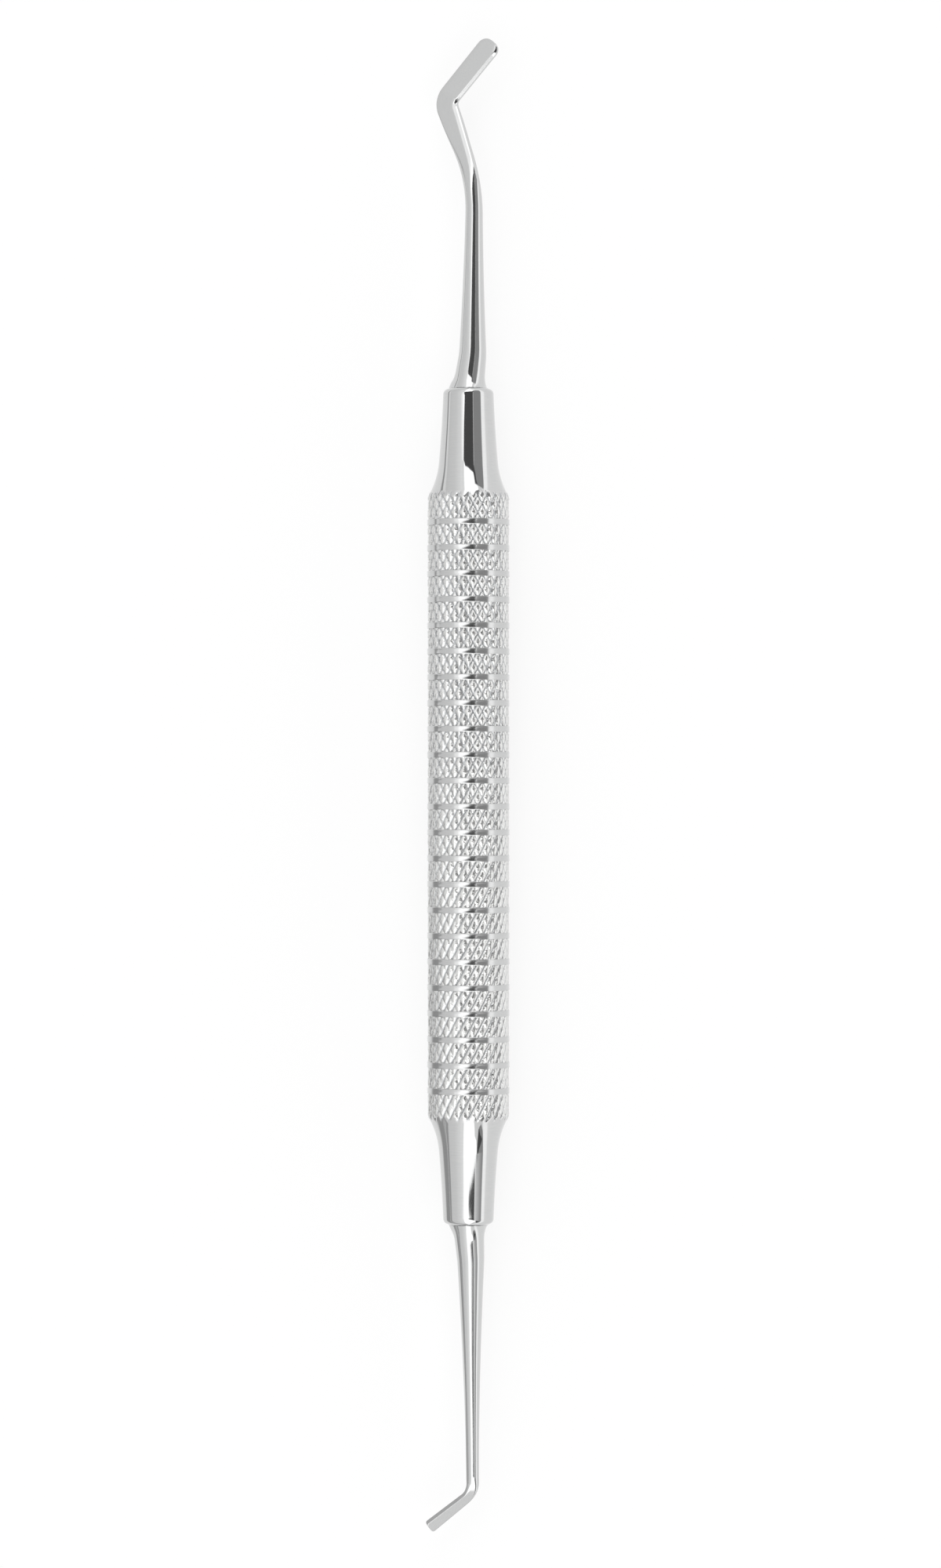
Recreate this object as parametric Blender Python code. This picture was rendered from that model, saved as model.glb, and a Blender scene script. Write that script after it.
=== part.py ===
# Double-ended composite placement instrument, lying on its side.
# Lengths are in metres. The handle's axis runs along Y, the blade end is at +Y, and +Z is up.
# The barrel rests on the plane z = 0, with its middle over the origin.
import math

import bmesh
import bpy

MM = 0.001

# Handle barrel: smooth rings turned between bands of diamond knurl
BARREL_DIAMETER = 9.5 * MM
RING_COUNT = 23
RING_PITCH = 2.95 * MM
RING_WIDTH = 0.62 * MM
END_BAND_LENGTH = 2.2 * MM
KNURL_DIAMONDS = 26
KNURL_ROWS_PER_PITCH = 3
KNURL_DEPTH = 0.32 * MM
KNURL_BELOW_RING = 0.05 * MM

# Handle nose: a slow taper that sweeps up to the barrel in a hollow and a crown
NOSE_TIP_DIAMETER = 5.78 * MM
NOSE_TAPER = math.radians(3.3)
NOSE_TAPER_LENGTH = 8.0 * MM
NOSE_CORNER_RADIUS = 0.6 * MM
SHOULDER_HOLLOW_RADIUS = 9.8 * MM
SHOULDER_CROWN_RADIUS = 2.5 * MM

# Handle bore: a tube that closes down to a socket in each nose
BARREL_WALL = 1.4 * MM
CAVITY_CONE = math.radians(30)
SOCKET_SIDES = 24

# Fit of both working ends in their sockets
TANG_DIAMETER = 2.6 * MM
TANG_LENGTH = 8.0 * MM
TANG_CLEARANCE = 0.05 * MM
TANG_CHAMFER = 0.3 * MM

# Collar and root of both working ends
COLLAR_DIAMETER = 4.56 * MM
COLLAR_FLARE_LENGTH = 1.7 * MM
SHANK_ROOT_DIAMETER = 3.6 * MM
SHANK_TAPER_POWER = 1.68

# Blade end: four straights, each at its own angle to the handle's axis, with round bends between
ROOT_BEND_RADIUS = 12.0 * MM
BLADE_ROOT_LENGTH = 3.95 * MM
BLADE_ROOT_ANGLE = math.radians(7.2)
BLADE_SHANK_LENGTH = 19.7 * MM
BLADE_SHANK_ANGLE = math.radians(0.55)
BLADE_NECK_BEND_RADIUS = 20.0 * MM
BLADE_NECK_LENGTH = 9.8 * MM
BLADE_NECK_ANGLE = math.radians(-20)
BLADE_BEND_RADIUS = 2.0 * MM
BLADE_LENGTH = 8.75 * MM
BLADE_ANGLE = math.radians(38.8)
BLADE_WAIST_DIAMETER = 1.95 * MM
BLADE_WAIST_AT = 23.0 * MM
BLADE_FLATTENS_AT = 20.0 * MM
BLADE_HEEL_WIDTH = 2.7 * MM
BLADE_TIP_WIDTH = 2.78 * MM
BLADE_THICKNESS = 0.7 * MM
BLADE_BEVEL = 0.25 * MM
BLADE_TIP_RADIUS = 1.05 * MM
BLADE_TWIST = math.radians(28)

# Paddle end: three straights, measured the same way
PADDLE_ROOT_LENGTH = 4.0 * MM
PADDLE_ROOT_ANGLE = math.radians(-3.85)
PADDLE_SHANK_LENGTH = 26.67 * MM
PADDLE_SHANK_ANGLE = math.radians(-0.5)
PADDLE_BEND_RADIUS = 2.4 * MM
PADDLE_LENGTH = 6.4 * MM
PADDLE_ANGLE = math.radians(51.6)
PADDLE_WAIST_DIAMETER = 1.46 * MM
PADDLE_WAIST_AT = 29.0 * MM
PADDLE_FLATTENS_AT = 28.0 * MM
PADDLE_HEEL_WIDTH = 1.05 * MM
PADDLE_TIP_WIDTH = 1.29 * MM
PADDLE_THICKNESS = 0.8 * MM
PADDLE_BEVEL = 0.08 * MM
PADDLE_TIP_RADIUS = 0.32 * MM
PADDLE_TWIST = math.radians(22)

# Fineness of the working ends
CORNER_POINTS = 6
STRAIGHT_STEP = 2.2 * MM
BEND_STEP = math.radians(8)
TIP_STEPS = 4

# Values shared by the pieces
KNURL_COLUMNS = 2 * KNURL_DIAMONDS
BARREL_RADIUS = BARREL_DIAMETER / 2
KNURL_CREST = BARREL_RADIUS - KNURL_BELOW_RING
KNURL_ROOT = KNURL_CREST - KNURL_DEPTH
SOCKET_RADIUS = TANG_DIAMETER / 2 + TANG_CLEARANCE
BARREL_HALF = (RING_COUNT - 1) / 2 * RING_PITCH + END_BAND_LENGTH

# Each ring has a flat side for every diamond, one of them straight down, and the handle rests on those
RING_FLAT_RADIUS = BARREL_RADIUS * math.cos(math.pi / KNURL_DIAMONDS)
AXIS_HEIGHT = RING_FLAT_RADIUS


def steel(name, tone, roughness):
    # One polished stainless steel, with its own tone for each piece
    material = bpy.data.materials.new(name)
    material.use_nodes = True
    shader = material.node_tree.nodes["Principled BSDF"]
    shader.inputs["Base Color"].default_value = (tone, tone, tone, 1.0)
    shader.inputs["Metallic"].default_value = 1.0
    shader.inputs["Roughness"].default_value = roughness
    material.diffuse_color = (tone, tone, tone, 1.0)
    return material


def add_object(name, mesh_builder, material, parent):
    mesh = bpy.data.meshes.new(name)
    mesh_builder.normal_update()
    mesh_builder.to_mesh(mesh)
    mesh_builder.free()
    mesh.materials.append(material)
    placed = bpy.data.objects.new(name, mesh)
    bpy.context.collection.objects.link(placed)
    placed.parent = parent
    return placed


def skin_loops(bm, first, second):
    # Quads between two loops of as many points
    count = len(first)
    for i in range(count):
        j = (i + 1) % count
        bm.faces.new((first[i], first[j], second[j], second[i]))


def skin_knurl(bm, first, second):
    # As skin_loops, with each cell folded along the groove that crosses it
    count = len(first)
    for i in range(count):
        j = (i + 1) % count
        a, b, c, d = first[i], first[j], second[j], second[i]
        rising = distance_from_axis(a) + distance_from_axis(c)
        falling = distance_from_axis(b) + distance_from_axis(d)
        if rising < falling:
            bm.faces.new((a, b, c))
            bm.faces.new((a, c, d))
        else:
            bm.faces.new((a, b, d))
            bm.faces.new((b, c, d))


def skin_annulus(bm, outer, inner):
    # Triangles in the flat face between two loops with their own numbers of points
    i = 0
    j = 0
    while i < len(outer) or j < len(inner):
        a = outer[i % len(outer)]
        b = inner[j % len(inner)]
        if (i + 1) * len(inner) <= (j + 1) * len(outer):
            bm.faces.new((a, outer[(i + 1) % len(outer)], b))
            i += 1
        else:
            bm.faces.new((a, inner[(j + 1) % len(inner)], b))
            j += 1


def distance_from_axis(vertex):
    return math.hypot(vertex.co.x, vertex.co.z)


def shoulder_angle():
    # Steepest slope of the shoulder, where its hollow meets its crown
    taper_top = NOSE_TIP_DIAMETER / 2 + NOSE_TAPER_LENGTH * math.tan(NOSE_TAPER)
    rise = BARREL_RADIUS - taper_top
    both = SHOULDER_HOLLOW_RADIUS + SHOULDER_CROWN_RADIUS
    cosine = (SHOULDER_CROWN_RADIUS + SHOULDER_HOLLOW_RADIUS * math.cos(NOSE_TAPER) - rise) / both
    return math.acos(max(0.0, min(cosine, math.cos(NOSE_TAPER))))


def crown_radius(y):
    # Radius of the turned blank on the barrel and over the shoulder's crown
    run = max(0.0, abs(y) - BARREL_HALF)
    drop = SHOULDER_CROWN_RADIUS - math.sqrt(max(0.0, SHOULDER_CROWN_RADIUS**2 - run**2))
    return BARREL_RADIUS - drop


def nose_profile():
    # Points (distance past the barrel, radius) from the shoulder's steepest place to the end face
    steep = shoulder_angle()
    along = SHOULDER_CROWN_RADIUS * math.sin(steep)
    radius = BARREL_RADIUS - SHOULDER_CROWN_RADIUS * (1 - math.cos(steep))
    points = [(along, radius)]
    hollow_steps = 4
    for step in range(1, hollow_steps + 1):
        slope = steep + (NOSE_TAPER - steep) * step / hollow_steps
        run = SHOULDER_HOLLOW_RADIUS * (math.sin(steep) - math.sin(slope))
        fall = SHOULDER_HOLLOW_RADIUS * (math.cos(slope) - math.cos(steep))
        points.append((along + run, radius - fall))
    end = points[-1][0] + NOSE_TAPER_LENGTH
    corner_steps = 2
    for step in range(corner_steps + 1):
        turn = NOSE_TAPER + (math.pi / 2 - NOSE_TAPER) * step / corner_steps
        back = NOSE_CORNER_RADIUS * (1 - math.sin(turn))
        inset = NOSE_CORNER_RADIUS * (1 - math.cos(turn))
        points.append((end - back, NOSE_TIP_DIAMETER / 2 - inset))
    return points


def handle_half_length():
    return BARREL_HALF + nose_profile()[-1][0]


def barrel_rows():
    # Rows (y, radius on even columns, radius on odd columns) from one shoulder to the other
    rows = []
    row_pitch = RING_PITCH / KNURL_ROWS_PER_PITCH
    last_ring = (RING_COUNT - 1) // 2
    steepest = SHOULDER_CROWN_RADIUS * math.sin(shoulder_angle())
    row = 0
    while row * row_pitch < BARREL_HALF + steepest:
        y = row * row_pitch
        ring = row // KNURL_ROWS_PER_PITCH
        if row % KNURL_ROWS_PER_PITCH == 0 and ring <= last_ring:
            rows.append((y + RING_WIDTH / 2, BARREL_RADIUS, RING_FLAT_RADIUS))
            rows.append((y - RING_WIDTH / 2, BARREL_RADIUS, RING_FLAT_RADIUS))
        else:
            crest = min(KNURL_CREST, crown_radius(y))
            root = min(KNURL_ROOT, crown_radius(y))
            pair = (crest, root) if row % 2 == 0 else (root, crest)
            rows.append((y, pair[0], pair[1]))
        row += 1
    rows = [entry for entry in rows if entry[0] > 0]
    mirrored = [(-y, even, odd) for y, even, odd in rows]
    return sorted(rows + mirrored)


def outer_loop(bm, y, even, odd):
    # Even and odd columns have their own radius, and an odd one points straight down
    loop = []
    for column in range(KNURL_COLUMNS):
        angle = 2 * math.pi * (column + 1) / KNURL_COLUMNS
        radius = even if column % 2 == 0 else odd
        loop.append(bm.verts.new((radius * math.sin(angle), y, -radius * math.cos(angle))))
    return loop


def socket_loop(bm, y, radius):
    loop = []
    for side in range(SOCKET_SIDES):
        angle = 2 * math.pi * (side + 0.5) / SOCKET_SIDES
        loop.append(bm.verts.new((radius * math.sin(angle), y, -radius * math.cos(angle))))
    return loop


def build_handle(parent):
    # Outer skin from the -Y end face to the +Y end face
    bm = bmesh.new()
    nose = nose_profile()
    near = [(-(BARREL_HALF + along), radius, radius) for along, radius in reversed(nose)]
    far = [(BARREL_HALF + along, radius, radius) for along, radius in nose]
    rows = near + barrel_rows() + far
    outer = [outer_loop(bm, y, even, odd) for y, even, odd in rows]
    for first, second in zip(outer, outer[1:]):
        skin_knurl(bm, first, second)

    # Bore: socket, cavity of the tube, socket
    cavity_radius = BARREL_RADIUS - BARREL_WALL
    cone_length = (cavity_radius - SOCKET_RADIUS) / math.tan(CAVITY_CONE)
    end = handle_half_length()
    bore = [
        (-end, SOCKET_RADIUS),
        (-BARREL_HALF - cone_length, SOCKET_RADIUS),
        (-BARREL_HALF, cavity_radius),
        (BARREL_HALF, cavity_radius),
        (BARREL_HALF + cone_length, SOCKET_RADIUS),
        (end, SOCKET_RADIUS),
    ]
    inner = [socket_loop(bm, y, radius) for y, radius in bore]
    for first, second in zip(inner, inner[1:]):
        skin_loops(bm, first, second)

    # End faces join the two skins
    skin_annulus(bm, outer[0], inner[0])
    skin_annulus(bm, outer[-1], inner[-1])
    bmesh.ops.recalc_face_normals(bm, faces=bm.faces)
    handle = add_object("handle", bm, steel("handle_steel", 0.62, 0.2), parent)
    return handle


def route_corners(straights):
    # Corners (sideways, along) of a route given as (length, angle to the handle's axis)
    corners = [(0.0, 0.0)]
    for length, angle in straights:
        x, y = corners[-1]
        corners.append((x + length * math.sin(angle), y + length * math.cos(angle)))
    return corners


def bend_stations(corners, radii):
    # Stations (point, direction) along straights and true arcs, in the plane of the bends
    stations = [(corners[0], unit(corners[0], corners[1]))]
    for before, corner, after, radius in zip(corners, corners[1:], corners[2:], radii):
        heading_in = unit(before, corner)
        heading_out = unit(corner, after)
        turn = math.atan2(cross(heading_in, heading_out), dot(heading_in, heading_out))
        trim = radius * math.tan(abs(turn) / 2)
        start = (corner[0] - heading_in[0] * trim, corner[1] - heading_in[1] * trim)
        extend_straight(stations, start, heading_in)
        side = math.copysign(1.0, turn)
        centre = (start[0] - heading_in[1] * side * radius, start[1] + heading_in[0] * side * radius)
        steps = max(2, round(abs(turn) / BEND_STEP))
        for step in range(1, steps + 1):
            angle = turn * step / steps
            spoke = rotate((start[0] - centre[0], start[1] - centre[1]), angle)
            stations.append(((centre[0] + spoke[0], centre[1] + spoke[1]), rotate(heading_in, angle)))
    return stations


def extend_straight(stations, goal, heading):
    # Adds evenly spaced stations up to and with the goal
    start = stations[-1][0]
    span = math.dist(start, goal)
    steps = max(1, round(span / STRAIGHT_STEP))
    for step in range(1, steps + 1):
        share = step / steps
        point = (start[0] + (goal[0] - start[0]) * share, start[1] + (goal[1] - start[1]) * share)
        stations.append((point, heading))


def unit(start, end):
    length = math.dist(start, end)
    return ((end[0] - start[0]) / length, (end[1] - start[1]) / length)


def rotate(vector, angle):
    cosine = math.cos(angle)
    sine = math.sin(angle)
    return (vector[0] * cosine - vector[1] * sine, vector[0] * sine + vector[1] * cosine)


def cross(first, second):
    return first[0] * second[1] - first[1] * second[0]


def dot(first, second):
    return first[0] * second[0] + first[1] * second[1]


def mix(first, second, share):
    return first + (second - first) * share


def ease(value, start, end):
    # Rises smoothly from 0 at the start to 1 at the end
    share = min(1.0, max(0.0, (value - start) / (end - start)))
    return share * share * (3 - 2 * share)


def section_loop(bm, station, section, twist):
    # A rectangle across the route, whose corners go from round (flatness 0) to bevelled (flatness 1).
    # A round section is one whose corners fill it
    (x, y), heading = station
    half_width, half_thickness, corner, flatness = section
    corner = min(corner, half_width, half_thickness)
    loop = []
    for quarter, (side, face) in enumerate(((1, 1), (-1, 1), (-1, -1), (1, -1))):
        for point in range(CORNER_POINTS):
            angle = math.pi / 2 * (point + 0.5) / CORNER_POINTS
            share = point / (CORNER_POINTS - 1)
            round_spot = (math.cos(angle), math.sin(angle))
            bevel_spot = (1 - share, share)
            spot = tuple(mix(r, b, flatness) for r, b in zip(round_spot, bevel_spot))
            spot = rotate(spot, math.pi / 2 * quarter)
            across = side * (half_width - corner) + corner * spot[0]
            up = face * (half_thickness - corner) + corner * spot[1]
            across, up = rotate((across, up), twist)
            loop.append(bm.verts.new((x + heading[1] * across, y - heading[0] * across, up)))
    return loop


def round_section(radius):
    return (radius, radius, radius, 0.0)


def build_working_end(name, form, parent, material):
    # A tang, a collar, a tapering round shank and a flattened tip, lofted along one route
    bm = bmesh.new()
    tang_radius = TANG_DIAMETER / 2
    loops = []
    for depth, radius in (
        (TANG_LENGTH, tang_radius - TANG_CHAMFER),
        (TANG_LENGTH - TANG_CHAMFER, tang_radius),
        (0.0, tang_radius),
        (0.0, COLLAR_DIAMETER / 2),
    ):
        loops.append(section_loop(bm, ((0.0, -depth), (0.0, 1.0)), round_section(radius), form["twist"]))

    corners = route_corners(form["straights"])
    stations = bend_stations(corners, form["bend_radii"])
    bend_end = route_length([point for point, heading in stations])
    tip_start = bend_end + math.dist(stations[-1][0], corners[-1]) - form["tip_radius"]
    tip = corners[-1]
    tip_heading = stations[-1][1]
    shoulder = tuple(tip[axis] - tip_heading[axis] * form["tip_radius"] for axis in (0, 1))
    extend_straight(stations, shoulder, tip_heading)
    flare_stations(stations)

    travelled = 0.0
    previous = stations[0][0]
    for point, heading in stations[1:]:
        travelled += math.dist(previous, point)
        previous = point
        section = shank_section(form, travelled, bend_end, tip_start)
        loops.append(section_loop(bm, (point, heading), section, form["twist"]))

    # The tip's corners are rounded in plan
    half_width = form["tip_width"] / 2
    for step in range(1, TIP_STEPS + 1):
        angle = math.pi / 2 * step / TIP_STEPS
        ahead = form["tip_radius"] * math.sin(angle)
        narrowed = half_width - form["tip_radius"] * (1 - math.cos(angle))
        point = tuple(shoulder[axis] + tip_heading[axis] * ahead for axis in (0, 1))
        section = (narrowed, form["thickness"] / 2, form["bevel"], 1.0)
        loops.append(section_loop(bm, (point, tip_heading), section, form["twist"]))

    for first, second in zip(loops, loops[1:]):
        skin_loops(bm, first, second)
    bm.faces.new(loops[0])
    bm.faces.new(loops[-1])
    bmesh.ops.recalc_face_normals(bm, faces=bm.faces)
    return add_object(name, bm, material, parent)


def route_length(points):
    return sum(math.dist(first, second) for first, second in zip(points, points[1:]))


def flare_stations(stations):
    # Extra stations where the collar flares, between the first one and the second
    start, heading = stations[0]
    room = math.dist(start, stations[1][0])
    extra = []
    for share in (0.15, 0.35, 0.6, 1.0):
        reach = COLLAR_FLARE_LENGTH * share
        if reach < room:
            extra.append(((start[0] + heading[0] * reach, start[1] + heading[1] * reach), heading))
    stations[1:1] = extra


def shank_section(form, travelled, bend_end, tip_start):
    # Round up to where the flat begins, flat from the bend's end, and widening on to the tip
    left = max(0.0, 1 - travelled / form["waist_at"])
    waist = form["waist_diameter"] / 2
    radius = waist + (SHANK_ROOT_DIAMETER / 2 - waist) * left**SHANK_TAPER_POWER
    flare = max(0.0, 1 - travelled / COLLAR_FLARE_LENGTH)
    radius += (COLLAR_DIAMETER - SHANK_ROOT_DIAMETER) / 2 * flare**2
    share = ease(travelled, form["flattens_at"], bend_end)
    spread = min(1.0, max(0.0, (travelled - bend_end) / (tip_start - bend_end)))
    flat_width = mix(form["heel_width"], form["tip_width"], spread)
    half_width = mix(radius, flat_width / 2, share**2)
    half_thickness = mix(radius, form["thickness"] / 2, share)
    corner = mix(radius, form["bevel"], share)
    return (half_width, half_thickness, corner, share)


BLADE_FORM = {
    "straights": (
        (BLADE_ROOT_LENGTH, BLADE_ROOT_ANGLE),
        (BLADE_SHANK_LENGTH, BLADE_SHANK_ANGLE),
        (BLADE_NECK_LENGTH, BLADE_NECK_ANGLE),
        (BLADE_LENGTH, BLADE_ANGLE),
    ),
    "bend_radii": (ROOT_BEND_RADIUS, BLADE_NECK_BEND_RADIUS, BLADE_BEND_RADIUS),
    "waist_diameter": BLADE_WAIST_DIAMETER,
    "waist_at": BLADE_WAIST_AT,
    "flattens_at": BLADE_FLATTENS_AT,
    "heel_width": BLADE_HEEL_WIDTH,
    "tip_width": BLADE_TIP_WIDTH,
    "thickness": BLADE_THICKNESS,
    "bevel": BLADE_BEVEL,
    "tip_radius": BLADE_TIP_RADIUS,
    "twist": BLADE_TWIST,
}

PADDLE_FORM = {
    "straights": (
        (PADDLE_ROOT_LENGTH, PADDLE_ROOT_ANGLE),
        (PADDLE_SHANK_LENGTH, PADDLE_SHANK_ANGLE),
        (PADDLE_LENGTH, PADDLE_ANGLE),
    ),
    "bend_radii": (ROOT_BEND_RADIUS, PADDLE_BEND_RADIUS),
    "waist_diameter": PADDLE_WAIST_DIAMETER,
    "waist_at": PADDLE_WAIST_AT,
    "flattens_at": PADDLE_FLATTENS_AT,
    "heel_width": PADDLE_HEEL_WIDTH,
    "tip_width": PADDLE_TIP_WIDTH,
    "thickness": PADDLE_THICKNESS,
    "bevel": PADDLE_BEVEL,
    "tip_radius": PADDLE_TIP_RADIUS,
    "twist": PADDLE_TWIST,
}


def main():
    for leftover in list(bpy.data.objects):
        bpy.data.objects.remove(leftover, do_unlink=True)

    axis = bpy.data.objects.new("instrument_axis", None)
    axis.location = (0.0, 0.0, AXIS_HEIGHT)
    bpy.context.collection.objects.link(axis)

    build_handle(axis)
    seat = handle_half_length()
    blade = build_working_end("blade_end", BLADE_FORM, axis, steel("blade_steel", 0.66, 0.15))
    blade.location = (0.0, seat, 0.0)
    paddle = build_working_end("paddle_end", PADDLE_FORM, axis, steel("paddle_steel", 0.66, 0.15))
    paddle.location = (0.0, -seat, 0.0)
    paddle.rotation_euler = (0.0, 0.0, math.pi)


main()
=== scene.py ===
import math

import bmesh
import bpy
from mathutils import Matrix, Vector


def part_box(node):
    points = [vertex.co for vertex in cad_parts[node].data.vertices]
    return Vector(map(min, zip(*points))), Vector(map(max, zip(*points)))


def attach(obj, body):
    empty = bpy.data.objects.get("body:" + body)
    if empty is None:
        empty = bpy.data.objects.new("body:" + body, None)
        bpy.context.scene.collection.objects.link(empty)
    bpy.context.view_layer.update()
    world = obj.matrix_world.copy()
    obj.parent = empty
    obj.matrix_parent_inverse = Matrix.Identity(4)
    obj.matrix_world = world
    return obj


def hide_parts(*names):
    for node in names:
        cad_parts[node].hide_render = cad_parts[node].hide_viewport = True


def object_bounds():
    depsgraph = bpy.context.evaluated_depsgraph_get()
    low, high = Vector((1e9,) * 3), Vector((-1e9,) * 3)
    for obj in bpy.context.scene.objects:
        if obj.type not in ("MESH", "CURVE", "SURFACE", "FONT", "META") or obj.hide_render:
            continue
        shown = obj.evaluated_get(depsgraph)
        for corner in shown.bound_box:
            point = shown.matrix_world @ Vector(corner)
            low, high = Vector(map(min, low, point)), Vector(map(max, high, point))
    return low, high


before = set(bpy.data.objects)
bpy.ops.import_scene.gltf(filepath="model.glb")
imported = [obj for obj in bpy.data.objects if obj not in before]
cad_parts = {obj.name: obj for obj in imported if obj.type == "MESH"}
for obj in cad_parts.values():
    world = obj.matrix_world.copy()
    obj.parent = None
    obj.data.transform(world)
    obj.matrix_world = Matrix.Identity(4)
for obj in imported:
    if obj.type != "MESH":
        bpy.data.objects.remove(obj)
cadLow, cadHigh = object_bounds()
handleLow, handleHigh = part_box("handle")
mm = 0.001
doublesWithin = 0.0005 * mm

# Shared by everything that turns about the handle's axis
blank = {
    "ringPitch": 2.95 * mm,
    "axisHeight": (handleLow.z + handleHigh.z) / 2,
    "radius": (handleHigh.z - handleLow.z) / 2,
    "barrelHalf": 34.65 * mm,
    "crownRadius": 2.5 * mm,
    "hollowRadius": 9.8 * mm,
    "noseTipRadius": 2.89 * mm,
    "noseTaper": math.radians(3.3),
    "noseTaperLength": 8.0 * mm,
    "noseCornerRadius": 0.6 * mm,
    "socketRadius": 1.35 * mm,
}


def linearColour(hexText):
    # sRGB hex to the linear colour that shaders take
    channels = [int(hexText[i:i + 2], 16) / 255 for i in (1, 3, 5)]
    linear = [c / 12.92 if c <= 0.04045 else ((c + 0.055) / 1.055) ** 2.4 for c in channels]
    return (*linear, 1.0)


# The two kinds of node that come most often, and a soft step for the second
maths = "ShaderNodeMath"
mapRange = "ShaderNodeMapRange"
softStep = {"interpolation_type": "SMOOTHSTEP"}


def addNode(tree, kind, settings=None, links=None):
    # Settings name a property or an input, links feed an input from a node or a socket
    node = tree.nodes.new(kind)
    for name, value in (settings or {}).items():
        if isinstance(name, str) and hasattr(node, name):
            setattr(node, name, value)
        else:
            node.inputs[name].default_value = value
    for name, source in (links or {}).items():
        socket = source.outputs[0] if isinstance(source, bpy.types.Node) else source
        tree.links.new(socket, node.inputs[name])
    return node


# Stainless steel, turned or forged and then polished to a mirror: a neutral grey metal whose
# reflections stay sharp, with a faint haze and fine buffing lines. Spacing, size and depth are in mm
buffing = {"lineDetail": 2.0, "hazeSize": 2.5, "hazeDetail": 3.0}
steelFinishes = {
    "turnedSteel": {
        "light": "#D2D2D1", "dark": "#C6C7C8", "roughness": (0.04, 0.08),
        "lineSpacing": (1.2, 0.05, 1.2), "lineDepth": 0.0002,
    },
    "ringSteel": {
        "light": "#D2D2D1", "dark": "#C4C5C6", "roughness": (0.12, 0.19),
        "lineSpacing": (1.2, 0.05, 1.2), "lineDepth": 0.0006,
    },
    "shankSteel": {
        "light": "#D2D2D1", "dark": "#C8C9CA", "roughness": (0.07, 0.12),
        "lineSpacing": (0.06, 1.6, 0.06), "lineDepth": 0.0005,
    },
}


def startMetal(name):
    # A material of bare metal, and the place on the piece that its patterns follow
    material = bpy.data.materials.new(name)
    material.use_nodes = True
    tree = material.node_tree
    tree.nodes["Principled BSDF"].inputs["Metallic"].default_value = 1.0
    return material, tree, addNode(tree, "ShaderNodeTexCoord").outputs["Object"]


def finishMetal(tree, tone, dullness, bump):
    shader = tree.nodes["Principled BSDF"]
    tree.links.new(tone.outputs[2], shader.inputs["Base Color"])
    tree.links.new(dullness.outputs[0], shader.inputs["Roughness"])
    tree.links.new(bump.outputs[0], shader.inputs["Normal"])


def makeSteel(name, finish):
    material, tree, place = startMetal(name)

    # Buffing lines: noise drawn out along the way that the wheel ran
    spacing = [1 / (size * mm) for size in finish["lineSpacing"]]
    lineSpace = addNode(tree, "ShaderNodeMapping", {"Scale": spacing}, {"Vector": place})
    lines = addNode(tree, "ShaderNodeTexNoise", {
        "Scale": 1.0, "Detail": buffing["lineDetail"],
    }, {"Vector": lineSpace})
    haze = addNode(tree, "ShaderNodeTexNoise", {
        "Scale": 1 / (buffing["hazeSize"] * mm), "Detail": buffing["hazeDetail"],
    }, {"Vector": place})

    low, high = finish["roughness"]
    dullness = addNode(tree, mapRange, {3: low, 4: high}, {0: haze})
    tone = addNode(tree, "ShaderNodeMix", {
        "data_type": "RGBA", 6: linearColour(finish["dark"]), 7: linearColour(finish["light"]),
    }, {0: lines})
    bump = addNode(tree, "ShaderNodeBump", {
        "Strength": 1.0, "Distance": finish["lineDepth"] * mm,
    }, {"Height": lines})
    finishMetal(tree, tone, dullness, bump)
    return material


# Knurled steel: cut, then brightened with the rest of the handle. The tops take the polish and
# the grooves stay duller and rougher, with small tears that the knurling wheels leave. The colour is
# lighter on the tops, a painted sheen, and darker in the grooves, a painted shade. Where the cut runs
# out on the shoulders, the steel is bare and smooth
knurlFinish = {
    "top": "#E2E2E1", "groove": "#BCBEC0", "bare": "#CECECE",
    "topRoughness": 0.18, "grooveRoughness": 0.31, "bareRoughness": 0.11,
    "polishAndShadeBetween": (0.05, 0.55),
    "tearSize": 0.18, "tearDepth": 0.046, "tearDetail": 1.5, "tearRoughness": 0.5,
}


def makeKnurledSteel(name, finish):
    material, tree, place = startMetal(name)
    height = addNode(tree, "ShaderNodeAttribute", {"attribute_name": "toothHeight"}).outputs["Fac"]
    bare = addNode(tree, "ShaderNodeAttribute", {"attribute_name": "bareShare"}).outputs["Fac"]
    tears = addNode(tree, "ShaderNodeTexNoise", {
        "Scale": 1 / (finish["tearSize"] * mm), "Detail": finish["tearDetail"],
        "Roughness": finish["tearRoughness"],
    }, {"Vector": place})
    low, high = finish["polishAndShadeBetween"]
    polishAndPaintedShade = addNode(tree, mapRange, {1: low, 2: high}, {0: height})
    # Painted light: the colour is lighter on the tooth tops as painted sheen and darker down in the
    # grooves as painted shade
    cutToneWithPaintedShade = addNode(tree, "ShaderNodeMix", {
        "data_type": "RGBA", 6: linearColour(finish["groove"]), 7: linearColour(finish["top"]),
    }, {0: polishAndPaintedShade})
    tone = addNode(tree, "ShaderNodeMix", {
        "data_type": "RGBA", 7: linearColour(finish["bare"]),
    }, {0: bare, 6: cutToneWithPaintedShade.outputs[2]})
    cutDullness = addNode(tree, mapRange, {
        3: finish["grooveRoughness"], 4: finish["topRoughness"],
    }, {0: polishAndPaintedShade})
    dullness = addNode(tree, "ShaderNodeMix", {3: finish["bareRoughness"]}, {0: bare, 2: cutDullness})
    torn = addNode(tree, maths, {"operation": "SUBTRACT", 0: 1.0}, {1: bare})
    bump = addNode(tree, "ShaderNodeBump", {"Distance": finish["tearDepth"] * mm}, {
        "Strength": torn, "Height": tears,
    })
    finishMetal(tree, tone, dullness, bump)
    return material


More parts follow.
